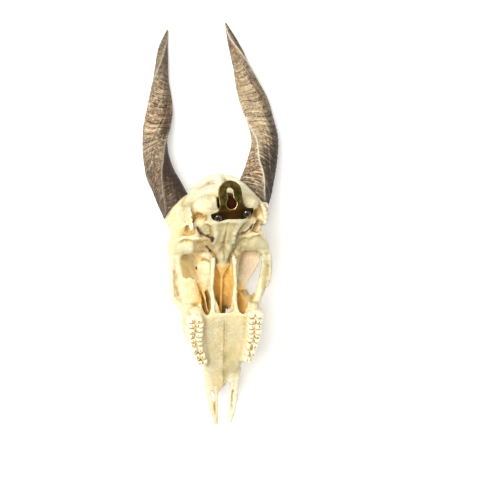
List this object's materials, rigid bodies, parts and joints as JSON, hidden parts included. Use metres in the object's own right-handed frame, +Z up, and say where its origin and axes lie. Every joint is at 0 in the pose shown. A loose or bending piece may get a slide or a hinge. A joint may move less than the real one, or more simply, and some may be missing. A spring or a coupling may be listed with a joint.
{
  "type": "bushbuck skull",
  "caption": "Bleached antelope skull without its lower jaw, with keeled spiral horns and a brass keyhole hanger screwed to the occiput, lying palate up on its nose and horns.",
  "frame": {"origin": "middle of the footprint on the floor that the nose and the horns rest on", "axes": "+Y from the nose to the horn tips, +X to the animal's right, +Z up from the floor towards the palate's side"},
  "size_m": [0.1386, 0.3987, 0.1125],
  "materials": {
    "bone": "dry bleached bone, cream with tan shadows",
    "horn": "dull brown-grey horn with fine growth rings",
    "hanger_brass": "worn olive brass plate, glossy",
    "screw_steel": "darkened steel screw"
  },
  "bodies": {
    "root": {"cranium": "bone", "face": "bone", "cheek_arch_left": "bone", "cheek_arch_right": "bone", "premaxilla_left": "bone", "premaxilla_right": "bone", "horn_left": "horn", "horn_right": "horn", "hanger_plate": "hanger_brass", "hanger_screw_left": "screw_steel", "hanger_screw_right": "screw_steel"}
  },
  "joints": []
}
